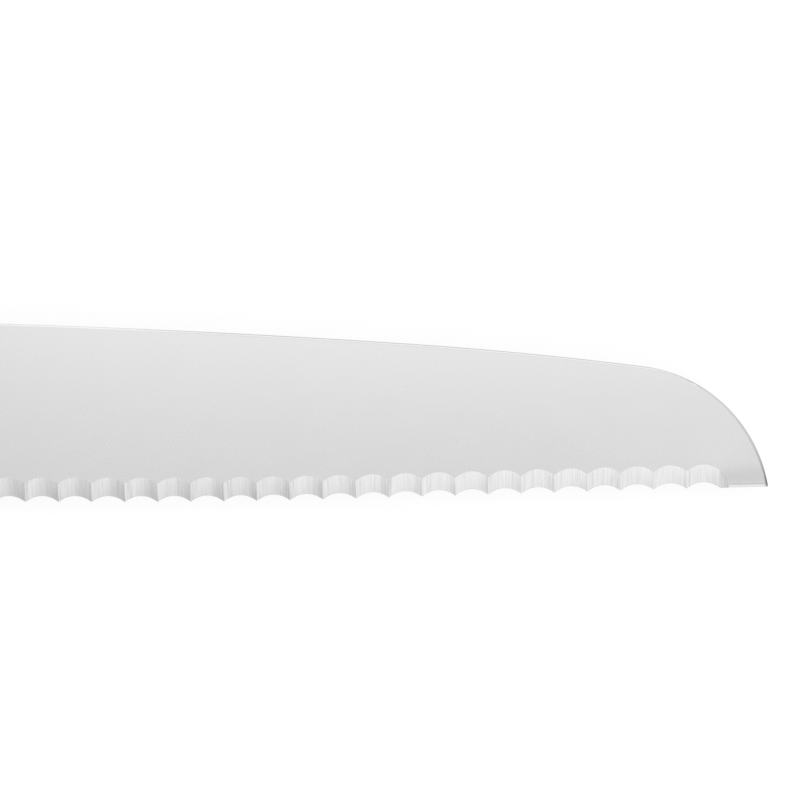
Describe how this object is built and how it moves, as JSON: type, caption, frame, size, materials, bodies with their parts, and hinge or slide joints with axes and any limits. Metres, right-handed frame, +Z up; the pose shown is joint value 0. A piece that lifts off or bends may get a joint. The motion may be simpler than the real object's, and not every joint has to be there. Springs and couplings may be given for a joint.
{
  "type": "bread knife",
  "caption": "Bread knife: wide blade with a rounded nose, scallops ground into its right side only, and a full tang riveted between flat-sided handle scales.",
  "frame": {"origin": "middle of the bounding box in plan, on the flat outer face of the left scale, on which the knife lies", "axes": "+X along the blade to the tip, +Y to the spine, +Z up, out of the ground right-hand side"},
  "size_m": [0.3626, 0.0458, 0.0167],
  "materials": {
    "blade_steel": "satin ground stainless steel with fine slanted grinding lines and brighter wheel-ground flutes",
    "handle_plastic": "fine matt moulded black plastic",
    "rivet_steel": "rivet heads ground flush with the handle"
  },
  "bodies": {
    "root": {"blade": "blade_steel", "scale_right": "handle_plastic", "scale_left": "handle_plastic", "front_rivet_pin": "rivet_steel", "front_rivet_tube": "rivet_steel", "middle_rivet_pin": "rivet_steel", "middle_rivet_tube": "rivet_steel", "rear_rivet_pin": "rivet_steel", "rear_rivet_tube": "rivet_steel"}
  },
  "joints": []
}
